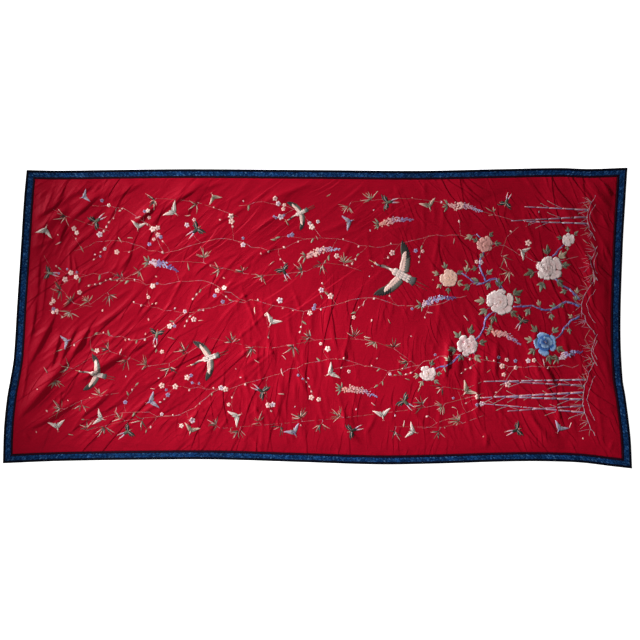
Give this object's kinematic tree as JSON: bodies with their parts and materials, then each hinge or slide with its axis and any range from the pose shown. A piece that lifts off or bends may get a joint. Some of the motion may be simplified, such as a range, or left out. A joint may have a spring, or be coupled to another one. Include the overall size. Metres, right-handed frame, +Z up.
{
  "type": "embroidered silk panel",
  "caption": "Long crimson silk panel embroidered with birds, butterflies and blossom, edged by a blue brocade ribbon between dark edgings, lying flat in soft creases.",
  "frame": {"origin": "on the surface under the middle of the panel's outline", "axes": "+X along the panel, towards the end where the embroidered plants root; +Y across it; +Z up from the surface, out of the embroidered face"},
  "size_m": [3.3656, 1.6096, 0.0341],
  "materials": {
    "silk": "crimson silk satin, soft sheen",
    "brocade": "blue woven silk ribbon with a small scroll repeat",
    "edging": "near-black plain woven tape",
    "embroidery": "floss silk satin stitch in many colours"
  },
  "bodies": {
    "root": {"silk_ground": "silk", "outer_binding_top": "edging", "outer_binding_right": "edging", "outer_binding_bottom": "edging", "outer_binding_left": "edging", "brocade_border_top": "brocade", "brocade_border_right": "brocade", "brocade_border_bottom": "brocade", "brocade_border_left": "brocade", "inner_piping_top": "edging", "inner_piping_right": "edging", "inner_piping_bottom": "edging", "inner_piping_left": "edging"}
  },
  "joints": []
}
